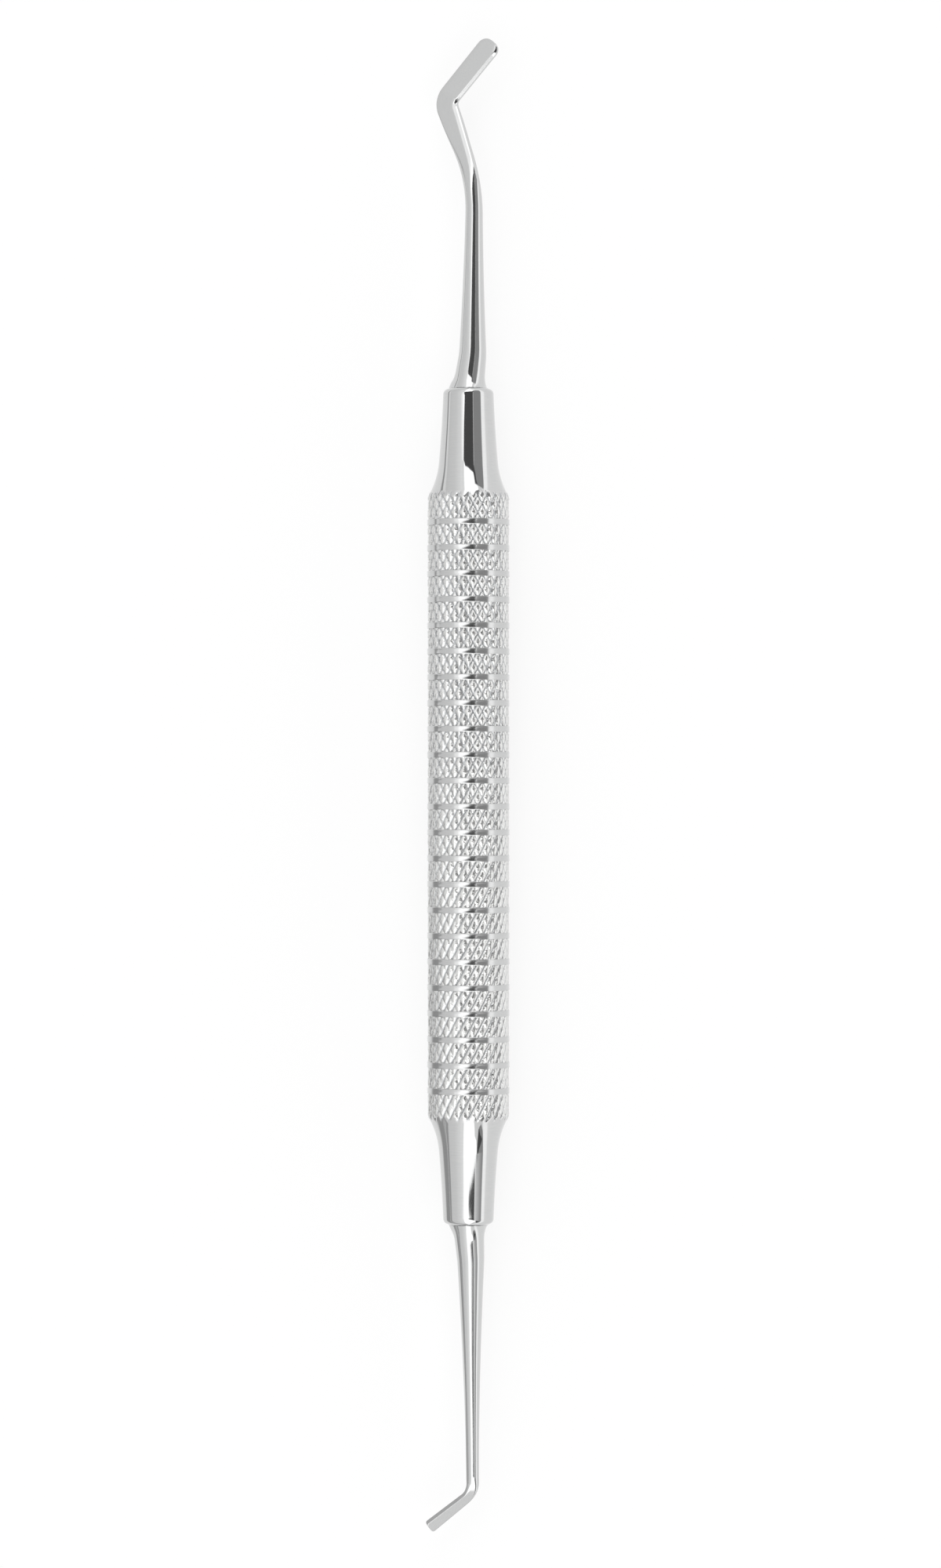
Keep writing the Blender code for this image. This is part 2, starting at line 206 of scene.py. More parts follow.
steels = {name: makeSteel(name, finish) for name, finish in steelFinishes.items()}
steels["knurledSteel"] = makeKnurledSteel("knurledSteel", knurlFinish)
print("steels made:", ", ".join(steels))


socketKinds = {
    int: "NodeSocketInt", float: "NodeSocketFloat", bpy.types.Material: "NodeSocketMaterial",
}


def growPiece(name, treeName, layNodes, values):
    # Makes a tree with a named input for each value, runs it once and keeps its result as a plain mesh
    tree = bpy.data.node_groups.new(treeName, "GeometryNodeTree")
    identifiers = {}
    for label, value in values.items():
        kind = socketKinds[type(value)]
        socket = tree.interface.new_socket(label, in_out="INPUT", socket_type=kind)
        identifiers[label] = socket.identifier
    tree.interface.new_socket("Mesh", in_out="OUTPUT", socket_type="NodeSocketGeometry")
    given = addNode(tree, "NodeGroupInput").outputs
    whole = addNode(tree, "GeometryNodeRealizeInstances", None, {"Geometry": layNodes(tree, given)})
    finished = addNode(tree, "GeometryNodeSetMaterial", None, {
        "Geometry": whole, "Material": given["Steel"],
    })
    addNode(tree, "NodeGroupOutput", None, {0: finished})

    piece = bpy.data.objects.new(name, bpy.data.meshes.new(name))
    bpy.context.scene.collection.objects.link(piece)
    modifier = piece.modifiers.new(name, "NODES")
    modifier.node_group = tree
    for label, value in values.items():
        modifier[identifiers[label]] = value
    graph = bpy.context.evaluated_depsgraph_get()
    graph.update()
    grown = bpy.data.meshes.new_from_object(
        piece.evaluated_get(graph), preserve_all_data_layers=True, depsgraph=graph
    )
    piece.modifiers.remove(modifier)
    piece.data = grown
    return piece


def splitIndex(tree, perRow):
    # Row of a point and its place in the row. The nudge keeps a whole quotient from falling short
    index = addNode(tree, "GeometryNodeInputIndex")
    quotient = addNode(tree, maths, {"operation": "DIVIDE"}, {0: index, 1: perRow})
    nudged = addNode(tree, maths, {"operation": "ADD", 1: 0.001}, {0: quotient})
    row = addNode(tree, maths, {"operation": "FLOOR"}, {0: nudged})
    before = addNode(tree, maths, {"operation": "MULTIPLY"}, {0: row, 1: perRow})
    return row, addNode(tree, maths, {"operation": "SUBTRACT"}, {0: index, 1: before})


def fromMiddle(tree, row, count):
    # Number of a row, counted from the middle of them all
    middle = addNode(tree, maths, {"operation": "MULTIPLY_ADD", 1: 0.5, 2: -0.5}, {0: count})
    return addNode(tree, maths, {"operation": "SUBTRACT"}, {0: row, 1: middle})


def shoulderAngle():
    # Steepest slope of the shoulder, where its hollow meets its crown
    taperTop = blank["noseTipRadius"] + blank["noseTaperLength"] * math.tan(blank["noseTaper"])
    both = blank["hollowRadius"] + blank["crownRadius"]
    rise = blank["radius"] - taperTop
    flat = blank["crownRadius"] + blank["hollowRadius"] * math.cos(blank["noseTaper"])
    return math.acos((flat - rise) / both)


steep = shoulderAngle()
blank["crownRun"] = blank["crownRadius"] * math.sin(steep)
blank["crownDrop"] = blank["crownRadius"] * (1 - math.cos(steep))

# The knurl: diamonds between crossed grooves, rolled round the blank and dying out on its shoulders
knurl = {
    "diamondsAround": 26,
    "rowPitch": blank["ringPitch"] / 3,
    "rows": 77,
    "belowRing": 0.05 * mm,
    "depth": 0.24 * mm,
    "flatShare": 0.45,  # of a tooth's half width
    "flankBend": 1.15,  # above 1 the flanks bulge
    "hipBlend": 0.2,
    "heightSpread": 0.12,  # how much lower a tooth may stand
    "wander": 0.02 * mm,
    "wanderSize": 0.9 * mm,
    "facetsPerSide": 6,
    "shallowShare": 0.45,  # how far one family of grooves fills up
    "shallowsBetween": (0.3, -0.3),  # shares of the barrel's half
    "bareDepth": 0.03 * mm,
    "endRun": 1.5 * mm,
    "mergeWithin": 0.002 * mm,
    "sharpAngle": math.radians(50),
    "seed": 7,
}


def knurlNodes(tree, given):
    # One diamond as a square patch, with the share of each groove family stored on it
    corners = addNode(tree, maths, {"operation": "ADD", 1: 1.0}, {0: given["Facets per Side"]})
    patch = addNode(tree, "GeometryNodeMeshGrid", {"Size X": 1.0, "Size Y": 1.0}, {
        "Vertices X": corners, "Vertices Y": corners,
    })
    position = addNode(tree, "GeometryNodeInputPosition")
    spot = addNode(tree, "ShaderNodeSeparateXYZ", None, {0: position})
    stored = patch.outputs["Mesh"]
    for axis, label in ((0, "risingRidge"), (1, "fallingRidge")):
        double = addNode(tree, maths, {"operation": "MULTIPLY", 1: 2.0}, {0: spot.outputs[axis]})
        away = addNode(tree, maths, {"operation": "ABSOLUTE"}, {0: double})
        flank = addNode(tree, mapRange, {2: 1.0}, {0: away, 1: given["Flat Share"]})
        bent = addNode(tree, maths, {"operation": "POWER"}, {0: flank, 1: given["Flank Bend"]})
        ridge = addNode(tree, maths, {"operation": "SUBTRACT", 0: 1.0, "use_clamp": True}, {1: bent})
        stored = addNode(tree, "GeometryNodeStoreNamedAttribute", {"Name": label}, {
            "Geometry": stored, "Value": ridge,
        })
    turned = addNode(tree, maths, {"operation": "ADD"}, {0: spot.outputs[0], 1: spot.outputs[1]})
    raised = addNode(tree, maths, {"operation": "SUBTRACT"}, {0: spot.outputs[0], 1: spot.outputs[1]})
    diamondSpot = addNode(tree, "ShaderNodeCombineXYZ", None, {0: turned, 1: raised})
    diamond = addNode(tree, "GeometryNodeSetPosition", None, {"Geometry": stored, "Position": diamondSpot})

    # The lattice of diamonds, laid flat in columns and rows
    total = addNode(tree, maths, {"operation": "MULTIPLY"}, {
        0: given["Diamonds Around"], 1: given["Rows"],
    })
    row, along = splitIndex(tree, given["Diamonds Around"])
    odd = addNode(tree, maths, {"operation": "MODULO", 1: 2.0}, {0: row})
    column = addNode(tree, maths, {"operation": "MULTIPLY_ADD", 1: 2.0}, {0: along, 2: odd})
    seat = addNode(tree, "ShaderNodeCombineXYZ", None, {
        0: column, 1: fromMiddle(tree, row, given["Rows"]),
    })
    seats = addNode(tree, "GeometryNodePoints", None, {"Count": total, "Position": seat})
    lowest = addNode(tree, maths, {"operation": "SUBTRACT", 0: 1.0}, {1: given["Height Spread"]})
    chance = addNode(tree, "FunctionNodeRandomValue", {3: 1.0}, {2: lowest, "Seed": given["Seed"]})
    varied = addNode(tree, "GeometryNodeStoreNamedAttribute", {"Name": "toothShare"}, {
        "Geometry": seats, "Value": chance.outputs[1],
    })
    laid = addNode(tree, "GeometryNodeInstanceOnPoints", None, {"Points": varied, "Instance": diamond})
    flat = addNode(tree, "GeometryNodeRealizeInstances", None, {"Geometry": laid})

    # Height of the tooth: the lower of the two ridges, and one family gets shallower towards -Y
    y = addNode(tree, maths, {"operation": "MULTIPLY"}, {0: spot.outputs[1], 1: given["Row Pitch"]})
    rising = addNode(tree, "GeometryNodeInputNamedAttribute", {"Name": "risingRidge"})
    falling = addNode(tree, "GeometryNodeInputNamedAttribute", {"Name": "fallingRidge"})
    share = addNode(tree, "GeometryNodeInputNamedAttribute", {"Name": "toothShare"})
    side = addNode(tree, maths, {"operation": "DIVIDE"}, {0: y, 1: given["Barrel Half"]})
    starts, ends = knurl["shallowsBetween"]
    shallow = addNode(tree, mapRange, {1: starts, 2: ends, 3: 0.0}, {0: side, 4: given["Shallow Share"]})
    filled = addNode(tree, "ShaderNodeMix", {3: 1.0}, {0: shallow, 2: falling})
    tooth = addNode(tree, maths, {"operation": "SMOOTH_MIN"}, {
        0: rising, 1: filled, 2: given["Hip Blend"],
    })
    cut = addNode(tree, maths, {"operation": "MULTIPLY"}, {0: tooth, 1: share})
    standing = addNode(tree, maths, {"operation": "MULTIPLY"}, {0: cut, 1: given["Groove Depth"]})
    root = addNode(tree, maths, {"operation": "SUBTRACT"}, {
        0: given["Crest Radius"], 1: given["Groove Depth"],
    })
    reach = addNode(tree, maths, {"operation": "ADD"}, {0: root, 1: standing})

    # Angle round the axis. The first column stands one column on from straight down
    around = addNode(tree, maths, {"operation": "ADD", 1: 1.0}, {0: spot.outputs[0]})
    turns = addNode(tree, maths, {"operation": "DIVIDE"}, {0: around, 1: given["Diamonds Around"]})
    angle = addNode(tree, maths, {"operation": "MULTIPLY", 1: math.pi}, {0: turns})
    sine = addNode(tree, maths, {"operation": "SINE"}, {0: angle})
    cosine = addNode(tree, maths, {"operation": "COSINE"}, {0: angle})

    # Small unevenness of the cut
    onSkin = addNode(tree, "ShaderNodeCombineXYZ", None, {0: sine, 2: cosine})
    skinSpot = addNode(tree, "ShaderNodeVectorMath", {"operation": "SCALE"}, {
        0: onSkin, "Scale": given["Blank Radius"],
    })
    lengthwise = addNode(tree, "ShaderNodeCombineXYZ", None, {1: y})
    fullSpot = addNode(tree, "ShaderNodeVectorMath", {"operation": "ADD"}, {0: skinSpot, 1: lengthwise})
    perSize = addNode(tree, maths, {"operation": "DIVIDE", 0: 1.0}, {1: given["Wander Size"]})
    noise = addNode(tree, "ShaderNodeTexNoise", {"Detail": 1.0}, {"Vector": fullSpot, "Scale": perSize})
    swing = addNode(tree, maths, {"operation": "MULTIPLY_ADD", 1: 2.0, 2: -1.0}, {0: noise})
    wandering = addNode(tree, maths, {"operation": "MULTIPLY_ADD"}, {
        0: swing, 1: given["Wander"], 2: reach,
    })

    # The blank's own radius at this place: barrel, crown of the shoulder, hollow of the shoulder
    absY = addNode(tree, maths, {"operation": "ABSOLUTE"}, {0: y})
    past = addNode(tree, maths, {"operation": "SUBTRACT"}, {0: absY, 1: given["Barrel Half"]})
    run = addNode(tree, maths, {"operation": "MAXIMUM", 1: 0.0}, {0: past})
    crownSpan = addNode(tree, maths, {"operation": "MINIMUM"}, {0: run, 1: given["Crown Run"]})
    crownSine = addNode(tree, maths, {"operation": "DIVIDE"}, {0: crownSpan, 1: given["Crown Radius"]})
    crownAngle = addNode(tree, maths, {"operation": "ARCSINE"}, {0: crownSine})
    crownCosine = addNode(tree, maths, {"operation": "COSINE"}, {0: crownAngle})
    crownShort = addNode(tree, maths, {"operation": "SUBTRACT", 0: 1.0}, {1: crownCosine})
    crownFall = addNode(tree, maths, {"operation": "MULTIPLY"}, {
        0: crownShort, 1: given["Crown Radius"],
    })
    hollowRun = addNode(tree, maths, {"operation": "SUBTRACT"}, {0: run, 1: crownSpan})
    hollowTurn = addNode(tree, maths, {"operation": "DIVIDE"}, {0: hollowRun, 1: given["Hollow Radius"]})
    hollowSine = addNode(tree, maths, {"operation": "SUBTRACT"}, {0: given["Steep Sine"], 1: hollowTurn})
    hollowAngle = addNode(tree, maths, {"operation": "ARCSINE"}, {0: hollowSine})
    hollowCosine = addNode(tree, maths, {"operation": "COSINE"}, {0: hollowAngle})
    hollowShort = addNode(tree, maths, {"operation": "SUBTRACT"}, {
        0: hollowCosine, 1: given["Steep Cosine"],
    })
    hollowFall = addNode(tree, maths, {"operation": "MULTIPLY"}, {
        0: hollowShort, 1: given["Hollow Radius"],
    })
    fall = addNode(tree, maths, {"operation": "ADD"}, {0: crownFall, 1: hollowFall})
    skin = addNode(tree, maths, {"operation": "SUBTRACT"}, {0: given["Blank Radius"], 1: fall})
    radius = addNode(tree, maths, {"operation": "MINIMUM"}, {0: wandering, 1: skin})

    across = addNode(tree, maths, {"operation": "MULTIPLY"}, {0: radius, 1: sine})
    down = addNode(tree, maths, {"operation": "MULTIPLY"}, {0: radius, 1: cosine})
    up = addNode(tree, maths, {"operation": "SUBTRACT"}, {0: given["Axis Height"], 1: down})
    wrapped = addNode(tree, "ShaderNodeCombineXYZ", None, {0: across, 1: y, 2: up})
    proud = addNode(tree, maths, {"operation": "SUBTRACT"}, {0: wandering, 1: skin})
    bare = addNode(tree, mapRange, None, {0: proud, 2: given["Bare Depth"]})
    marked = flat
    for label, value in (("toothHeight", cut), ("bareShare", bare)):
        marked = addNode(tree, "GeometryNodeStoreNamedAttribute", {"Name": label}, {
            "Geometry": marked, "Value": value,
        })
    rolled = addNode(tree, "GeometryNodeSetPosition", None, {"Geometry": marked, "Position": wrapped})
    merged = addNode(tree, "GeometryNodeMergeByDistance", None, {
        "Geometry": rolled, "Distance": given["Merge Within"],
    })

    # Facets past the last groove are cut off, because the nose begins there
    rolledY = addNode(tree, maths, {"operation": "ABSOLUTE"}, {0: spot.outputs[1]})
    last = addNode(tree, maths, {"operation": "ADD"}, {0: given["Barrel Half"], 1: given["End Run"]})
    beyond = addNode(tree, maths, {"operation": "GREATER_THAN"}, {0: rolledY, 1: last})
    trimmed = addNode(tree, "GeometryNodeDeleteGeometry", {"domain": "FACE"}, {
        "Geometry": merged, "Selection": beyond,
    })
    return addNode(tree, "GeometryNodeSetShadeSmooth", None, {"Geometry": trimmed})


def closeHoles(piece):
    # Merges doubles, fills what is open and turns every face outwards
    bm = bmesh.new()
    bm.from_mesh(piece.data)
    bmesh.ops.remove_doubles(bm, verts=bm.verts, dist=doublesWithin)
    openEdges = [edge for edge in bm.edges if edge.is_boundary]
    if openEdges:
        bmesh.ops.holes_fill(bm, edges=openEdges, sides=0)
    bmesh.ops.recalc_face_normals(bm, faces=bm.faces)
    bm.to_mesh(piece.data)
    bm.free()


def finishPiece(piece, node, sharpAngle):
    closeHoles(piece)
    piece.data.shade_smooth()
    piece.data.set_sharp_from_angle(angle=sharpAngle)
    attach(piece, "root")
    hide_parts(node)
    piece.data.calc_loop_triangles()
    print(piece.name, "has", len(piece.data.loop_triangles), "triangles")


handleKnurl = growPiece("handle_knurl", "diamondKnurl", knurlNodes, {
    "Diamonds Around": knurl["diamondsAround"], "Rows": knurl["rows"], "Seed": knurl["seed"],
    "Facets per Side": knurl["facetsPerSide"], "Row Pitch": knurl["rowPitch"],
    "Axis Height": blank["axisHeight"], "Crest Radius": blank["radius"] - knurl["belowRing"],
    "Groove Depth": knurl["depth"], "Flat Share": knurl["flatShare"],
    "Flank Bend": knurl["flankBend"], "Hip Blend": knurl["hipBlend"],
    "Height Spread": knurl["heightSpread"], "Wander": knurl["wander"],
    "Wander Size": knurl["wanderSize"], "Shallow Share": knurl["shallowShare"],
    "Blank Radius": blank["radius"], "Barrel Half": blank["barrelHalf"],
    "Crown Radius": blank["crownRadius"], "Crown Run": blank["crownRun"],
    "Hollow Radius": blank["hollowRadius"],
    "Steep Sine": math.sin(steep), "Steep Cosine": math.cos(steep), "End Run": knurl["endRun"],
    "Bare Depth": knurl["bareDepth"], "Merge Within": knurl["mergeWithin"],
    "Steel": steels["knurledSteel"],
})
finishPiece(handleKnurl, "handle", knurl["sharpAngle"])

# The rings: smooth bands, slightly hollow across, all alike and evenly spaced along the barrel
rings = {
    "count": 23,
    "width": 0.68 * mm,
    "depth": 0.45 * mm,
    "hollow": 0.018 * mm,
    "edgeRadius": 0.05 * mm,
    "edgeSteps": 3,
    "outlinePoints": 34,
    "sides": 100,
    "sharpAngle": math.radians(60),
}


def ringNodes(tree, given):
    # Cross-section: a rounded bar whose outer face is hollow
    bar = addNode(tree, "GeometryNodeCurvePrimitiveQuadrilateral", None, {
        "Width": given["Width"], "Height": given["Depth"],
    })
    filleted = addNode(tree, "GeometryNodeFilletCurve", {"mode": "POLY"}, {
        "Curve": bar, "Radius": given["Edge Radius"], "Count": given["Edge Steps"],
    })
    fine = addNode(tree, "GeometryNodeResampleCurve", None, {
        "Curve": filleted, "Count": given["Outline Points"],
    })
    position = addNode(tree, "GeometryNodeInputPosition")
    spot = addNode(tree, "ShaderNodeSeparateXYZ", None, {0: position})
    halfWidth = addNode(tree, maths, {"operation": "MULTIPLY", 1: 0.5}, {0: given["Width"]})
    share = addNode(tree, maths, {"operation": "DIVIDE"}, {0: spot.outputs[0], 1: halfWidth})
    square = addNode(tree, maths, {"operation": "MULTIPLY"}, {0: share, 1: share})
    inward = addNode(tree, maths, {"operation": "SUBTRACT", 0: 1.0}, {1: square})
    drop = addNode(tree, maths, {"operation": "MULTIPLY"}, {0: inward, 1: given["Hollow"]})
    outside = addNode(tree, maths, {"operation": "GREATER_THAN", 1: 0.0}, {0: spot.outputs[1]})
    applied = addNode(tree, maths, {"operation": "MULTIPLY"}, {0: drop, 1: outside})
    lowered = addNode(tree, maths, {"operation": "SUBTRACT"}, {0: spot.outputs[1], 1: applied})
    halfDepth = addNode(tree, maths, {"operation": "MULTIPLY", 1: 0.5}, {0: given["Depth"]})
    centreline = addNode(tree, maths, {"operation": "SUBTRACT"}, {
        0: given["Outer Radius"], 1: halfDepth,
    })
    outward = addNode(tree, maths, {"operation": "ADD"}, {0: lowered, 1: centreline})

    # Each point of the section is swept round the axis as a row of a wrapped grid
    section = addNode(tree, "ShaderNodeCombineXYZ", None, {0: outward, 1: spot.outputs[0]})
    profile = addNode(tree, "GeometryNodeSetPosition", None, {"Geometry": fine, "Position": section})
    profilePoints = addNode(tree, "GeometryNodeCurveToMesh", None, {"Curve": profile})
    loop = addNode(tree, "GeometryNodeAttributeDomainSize", None, {"Geometry": profilePoints})
    columns = addNode(tree, maths, {"operation": "ADD", 1: 1.0}, {0: given["Sides"]})
    perColumn = addNode(tree, maths, {"operation": "ADD", 1: 1.0}, {0: loop.outputs["Point Count"]})
    grid = addNode(tree, "GeometryNodeMeshGrid", {"Size X": 1.0, "Size Y": 1.0}, {
        "Vertices X": columns, "Vertices Y": perColumn,
    })
    column, inColumn = splitIndex(tree, perColumn)
    closed = addNode(tree, maths, {"operation": "MODULO"}, {
        0: inColumn, 1: loop.outputs["Point Count"],
    })
    sample = addNode(tree, "GeometryNodeSampleIndex", {"data_type": "FLOAT_VECTOR"}, {
        "Geometry": profilePoints, "Value": position, "Index": closed,
    })
    at = addNode(tree, "ShaderNodeSeparateXYZ", None, {0: sample})
    turn = addNode(tree, maths, {"operation": "DIVIDE"}, {0: column, 1: given["Sides"]})
    angle = addNode(tree, maths, {"operation": "MULTIPLY", 1: 2 * math.pi}, {0: turn})
    sine = addNode(tree, maths, {"operation": "SINE"}, {0: angle})
    cosine = addNode(tree, maths, {"operation": "COSINE"}, {0: angle})
    across = addNode(tree, maths, {"operation": "MULTIPLY"}, {0: at.outputs[0], 1: sine})
    down = addNode(tree, maths, {"operation": "MULTIPLY"}, {0: at.outputs[0], 1: cosine})
    up = addNode(tree, maths, {"operation": "SUBTRACT"}, {0: given["Axis Height"], 1: down})
    swept = addNode(tree, "ShaderNodeCombineXYZ", None, {0: across, 1: at.outputs[1], 2: up})
    ring = addNode(tree, "GeometryNodeSetPosition", None, {"Geometry": grid, "Position": swept})
    ringClosed = addNode(tree, "GeometryNodeMergeByDistance", None, {
        "Geometry": ring, "Distance": given["Merge Within"],
    })

    # Copies along the barrel
    index = addNode(tree, "GeometryNodeInputIndex")
    centred = fromMiddle(tree, index, given["Count"])
    y = addNode(tree, maths, {"operation": "MULTIPLY"}, {0: centred, 1: given["Pitch"]})
    seat = addNode(tree, "ShaderNodeCombineXYZ", None, {1: y})
    seats = addNode(tree, "GeometryNodePoints", None, {"Count": given["Count"], "Position": seat})
    return addNode(tree, "GeometryNodeInstanceOnPoints", None, {"Points": seats, "Instance": ringClosed})


handleRings = growPiece("handle_rings", "barrelRings", ringNodes, {
    "Count": rings["count"], "Sides": rings["sides"], "Outline Points": rings["outlinePoints"],
    "Pitch": blank["ringPitch"], "Width": rings["width"], "Depth": rings["depth"],
    "Hollow": rings["hollow"], "Edge Radius": rings["edgeRadius"], "Edge Steps": rings["edgeSteps"],
    "Outer Radius": blank["radius"], "Axis Height": blank["axisHeight"],
    "Merge Within": doublesWithin, "Steel": steels["ringSteel"],
})
finishPiece(handleRings, "handle", rings["sharpAngle"])

# The noses: a turned profile from the last groove to the end face and into the socket
nose = {
    "overlap": 0.002 * mm,  # over the bare end of the knurl
    "startRun": 1.34 * mm,
    "hollowSteps": 40,
    "taperSteps": 24,
    "taperBow": 0.045 * mm,
    "cornerSteps": 10,
    "sides": 160,
    "socketDepth": 9.0 * mm,
    "sharpAngle": math.radians(35),
}


def noseProfile():
    # Points (distance past the barrel, radius), from the shoulder out to the end and into the socket
    taper = blank["noseTaper"]
    hollow = blank["hollowRadius"]
    corner = blank["noseCornerRadius"]
    first = nose["startRun"]
    end = blank["crownRun"] + hollow * (math.sin(steep) - math.sin(taper)) + blank["noseTaperLength"]
    bowSlope = 4 * nose["taperBow"] / blank["noseTaperLength"]
    points = []
    topSlope = math.asin(math.sin(steep) - (first - blank["crownRun"]) / hollow)
    for step in range(nose["hollowSteps"] + 1):
        slope = topSlope + (taper + bowSlope - topSlope) * step / nose["hollowSteps"]
        run = blank["crownRun"] + hollow * (math.sin(steep) - math.sin(slope))
        fall = blank["crownDrop"] + hollow * (math.cos(slope) - math.cos(steep))
        points.append((run, blank["radius"] - fall + nose["overlap"]))
    taperRun, taperRadius = points[-1]
    flatter = taper - bowSlope
    lastRun = end - corner * (1 - math.sin(flatter))
    lastRadius = blank["noseTipRadius"] - corner * (1 - math.cos(flatter))
    for step in range(1, nose["taperSteps"]):
        share = step / nose["taperSteps"]
        bow = nose["taperBow"] * 4 * share * (1 - share)
        radius = taperRadius + (lastRadius - taperRadius) * share - bow
        points.append((taperRun + (lastRun - taperRun) * share, radius))
    for step in range(nose["cornerSteps"] + 1):
        turn = flatter + (math.pi / 2 - flatter) * step / nose["cornerSteps"]
        back = corner * (1 - math.sin(turn))
        inset = corner * (1 - math.cos(turn))
        points.append((end - back, blank["noseTipRadius"] - inset))
    points.append((end, blank["socketRadius"]))
    points.append((end - nose["socketDepth"], blank["socketRadius"]))
    return points


def bridge(bm, loops):
    # Faces from each loop to the next
    for here, there in zip(loops, loops[1:]):
        for i in range(len(here)):
            j = (i + 1) % len(here)
            bm.faces.new((here[i], here[j], there[j], there[i]))


def pieceFrom(bm, name, steel):
    mesh = bpy.data.meshes.new(name)
    bm.to_mesh(mesh)
    bm.free()
    mesh.materials.append(steel)
    piece = bpy.data.objects.new(name, mesh)
    bpy.context.scene.collection.objects.link(piece)
    return piece


def turnNose(name, direction):
    # Lathes the profile about the handle's axis, closed on itself
    bm = bmesh.new()
    loops = []
    for run, radius in noseProfile():
        y = direction * (blank["barrelHalf"] + run)
        loop = []
        for side in range(nose["sides"]):
            angle = 2 * math.pi * side / nose["sides"]
            z = blank["axisHeight"] - radius * math.cos(angle)
            loop.append(bm.verts.new((radius * math.sin(angle), y, z)))
        loops.append(loop)
    bridge(bm, loops + loops[:1])
    return pieceFrom(bm, name, steels["turnedSteel"])


for noseName, noseDirection in (("handle_nose_blade", 1), ("handle_nose_paddle", -1)):
    finishPiece(turnNose(noseName, noseDirection), "handle", nose["sharpAngle"])

# The working ends: round shanks that taper, bend and flatten, lofted along their routes
workingEnds = {
    "tangRadius": 1.3 * mm,
    "tangLength": 8.0 * mm,
    "tangChamfer": 0.3 * mm,
    "collarRadius": 2.28 * mm,
    "collarFlare": 1.7 * mm,
    "rootRadius": 1.8 * mm,
    "taperPower": 1.68,
    "cornerPoints": 14,
    "besideCorner": 0.7,
    "straightStep": 0.35 * mm,
    "bendStep": math.radians(2.5),
    "tipSteps": 20,
    "tipBevelFrom": math.radians(6),
    "sharpAngle": math.radians(40),
}

bladeEnd = {
    "lengths": (3.95 * mm, 19.7 * mm, 9.8 * mm, 8.75 * mm),
    "angles": (7.2, 0.55, -20.0, 38.8),  # of each length, in degrees from straight out
    "bendRadii": (12.0 * mm, 20.0 * mm, 2.0 * mm),
    "waistRadius": 0.975 * mm,
    "waistAt": 23.0 * mm,
    "flattensAt": 20.0 * mm,
    "heelWidth": 2.7 * mm,
    "tipWidth": 2.78 * mm,
    "thickness": 0.7 * mm,
    "ridge": (0.55 * mm, 0.12 * mm),
    "ridgeFlatness": 0.72,
    "ridgeBetween": (21.8 * mm, 25.3 * mm),
    "cornersBetween": (24.3 * mm, 31.0 * mm),
    "bevel": 0.25 * mm,
    "flatness": 1.0,
    "tipRadius": 1.05 * mm,
    "tipBevel": 0.58,  # height of the ridge's bevel round the tip, as a share
    "twist": math.radians(28),
    "neckTwist": math.radians(28),
    "direction": 1,
}

paddleEnd = {
    "lengths": (4.0 * mm, 26.67 * mm, 6.4 * mm),
    "angles": (-3.85, -0.5, 51.6),
    "bendRadii": (12.0 * mm, 2.4 * mm),
    "waistRadius": 0.73 * mm,
    "waistAt": 29.0 * mm,
    "flattensAt": 28.6 * mm,
    "heelWidth": 1.05 * mm,
    "tipWidth": 1.29 * mm,
    "thickness": 0.8 * mm,
    "ridge": (0.05 * mm, 0.05 * mm),
    "ridgeFlatness": 0.0,
    "ridgeBetween": (28.8 * mm, 31.9 * mm),
    "cornersBetween": (28.8 * mm, 31.9 * mm),
    "bevel": 0.05 * mm,
    "flatness": 0.0,
    "tipRadius": 0.32 * mm,
    "tipBevel": 1.0,
    "twist": math.radians(22),
    "neckTwist": math.radians(8),
    "direction": -1,
}


def rotated(vector, angle):
    cosine = math.cos(angle)
    sine = math.sin(angle)
    return (vector[0] * cosine - vector[1] * sine, vector[0] * sine + vector[1] * cosine)


def unitBetween(start, end):
    length = math.dist(start, end)
    return ((end[0] - start[0]) / length, (end[1] - start[1]) / length)


def blend(first, second, share):
    return first + (second - first) * share


def eased(value, start, end):
    share = min(1.0, max(0.0, (value - start) / (end - start)))
    return share * share * (3 - 2 * share)


def addStraight(stations, goal, heading):
    # Evenly spaced stations up to and with the goal
    start = stations[-1][0]
    steps = max(1, round(math.dist(start, goal) / workingEnds["straightStep"]))
    for step in range(1, steps + 1):
        share = step / steps
        stations.append(((blend(start[0], goal[0], share), blend(start[1], goal[1], share)), heading))


